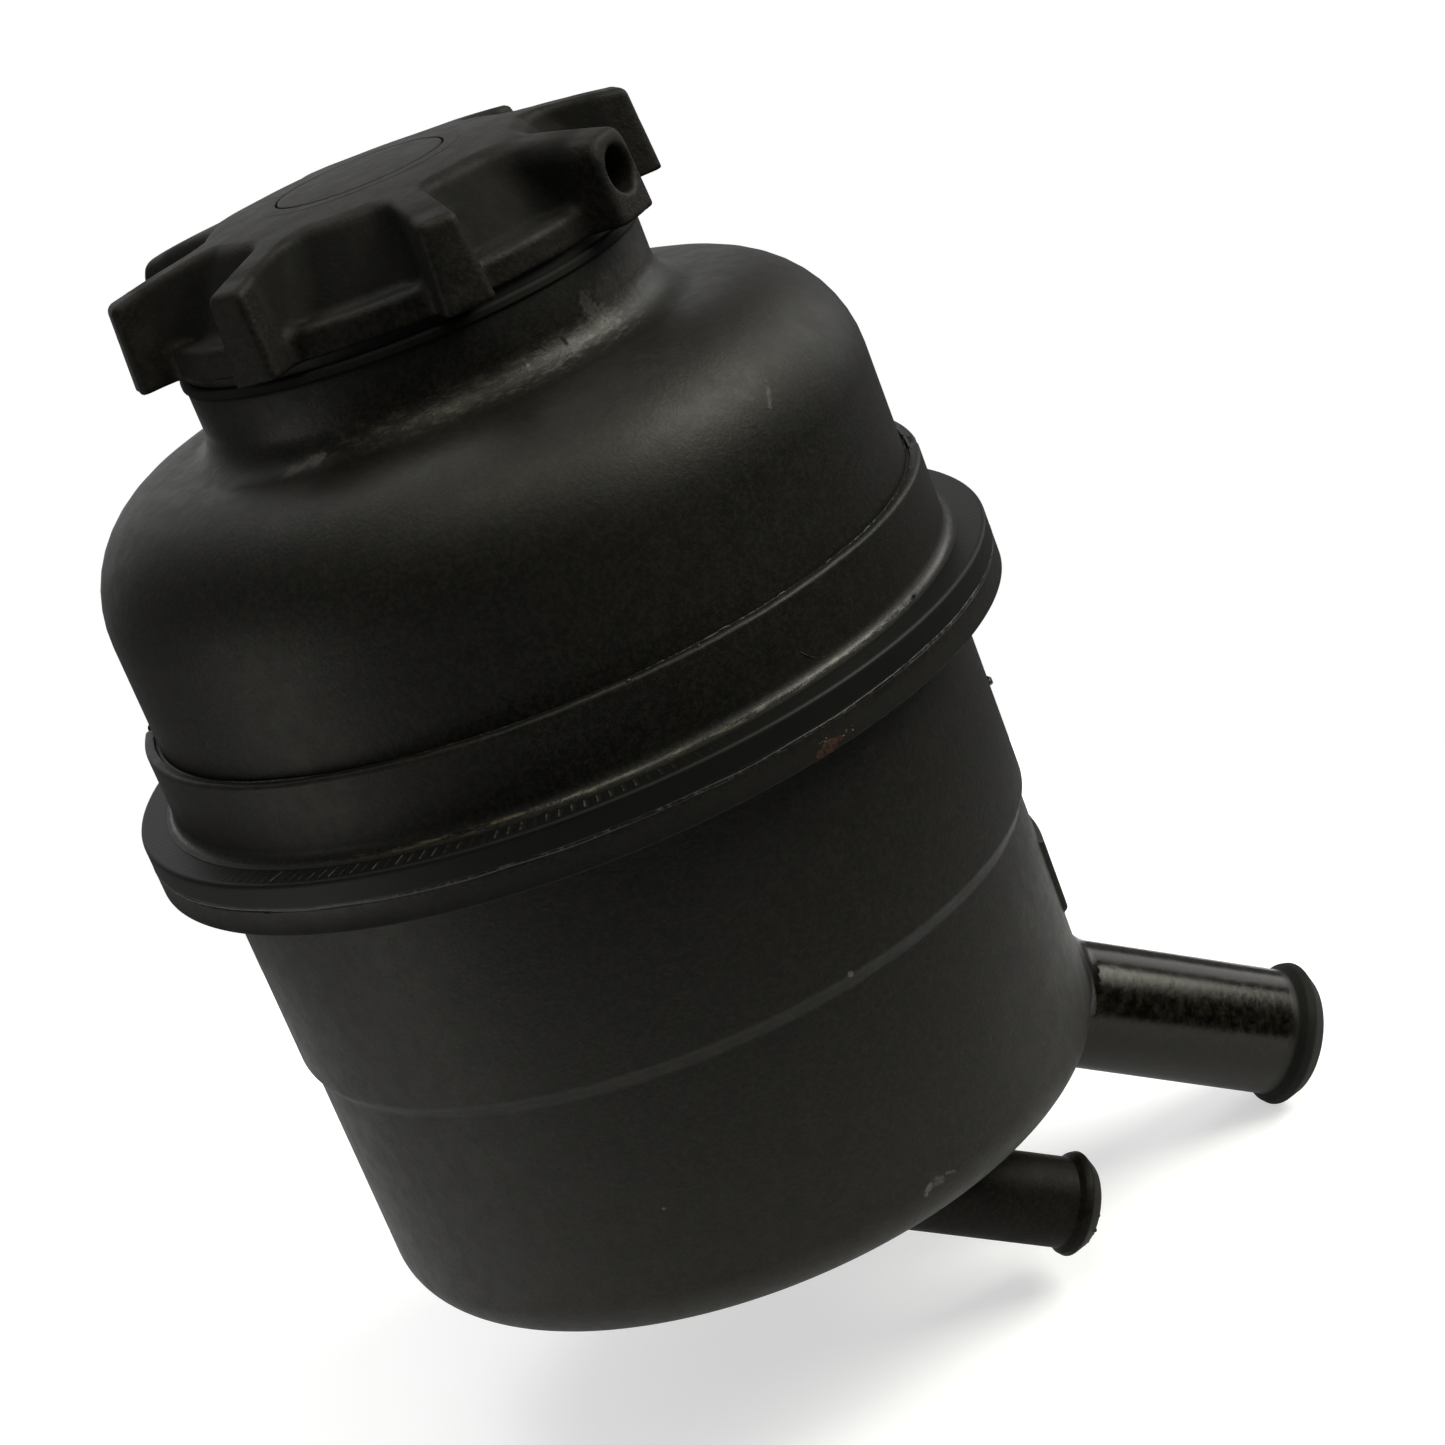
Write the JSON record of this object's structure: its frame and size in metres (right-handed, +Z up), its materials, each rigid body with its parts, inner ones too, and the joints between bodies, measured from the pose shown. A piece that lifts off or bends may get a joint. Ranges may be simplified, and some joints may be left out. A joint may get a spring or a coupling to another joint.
{
  "type": "power steering fluid reservoir",
  "caption": "Round black plastic reservoir can with a thick weld flange, a lobed screw cap with dipstick, an internal filter and slanted suction and return hose nozzles.",
  "frame": {"origin": "on the axis of the can, half way up the seat of the holding band, between the step of the foot and the weld flange", "axes": "+Z up along the axis of the can, through the cap; +X to the side where both hose nozzles leave"},
  "size_m": [0.1384, 0.1164, 0.1682],
  "materials": {
    "shell_plastic": "moulded, fine matte grain",
    "cap_plastic": "moulded, matte",
    "rubber": "matte rubber",
    "dipstick_plastic": "moulded, satin",
    "inner_plastic": "moulded, satin, oily",
    "filter_plastic": "natural moulded plastic, oil stained",
    "mesh": "fine woven screen, oil stained",
    "zinc_steel": "pressed, zinc plated",
    "spring_steel": "drawn spring wire"
  },
  "bodies": {
    "reservoir": {"upper_shell": "shell_plastic", "lower_shell": "shell_plastic", "baffle_plate": "inner_plastic", "filter_seal": "rubber", "filter_cage": "filter_plastic", "filter_mesh": "mesh", "filter_lid": "filter_plastic", "bypass_spring": "spring_steel", "spring_bridge": "zinc_steel"},
    "bypass": {"bypass_valve": "zinc_steel"},
    "seal": {"cap_seal": "rubber"},
    "stick": {"dipstick": "dipstick_plastic"},
    "cap": {"cap": "cap_plastic", "vent_cover": "cap_plastic", "vent_valve": "rubber"}
  },
  "joints": [
    {"name": "cap_lift", "type": "slide", "parent": "reservoir", "child": "seal", "axis": [0, 0, 1], "range_m": [0, 0.07]},
    {"name": "cap_rise", "type": "slide", "parent": "seal", "child": "stick", "axis": [0, 0, 1], "range_m": [0, 0.006]},
    {"name": "cap_turn", "type": "hinge", "parent": "stick", "child": "cap", "pos_m": [0, 0, 0], "axis": [0, 0, 1], "range_deg": [0, 540]},
    {"name": "bypass_open", "type": "slide", "parent": "reservoir", "child": "bypass", "axis": [0, 0, 1], "range_m": [0, 0.0024], "stiffness_N_per_m": 300, "springref_m": -0.002, "deforming": ["bypass_spring"]}
  ],
  "couplings": [
    {"joint": "cap_turn", "follows": "cap_rise", "rad_per_m": 1570.8}
  ]
}
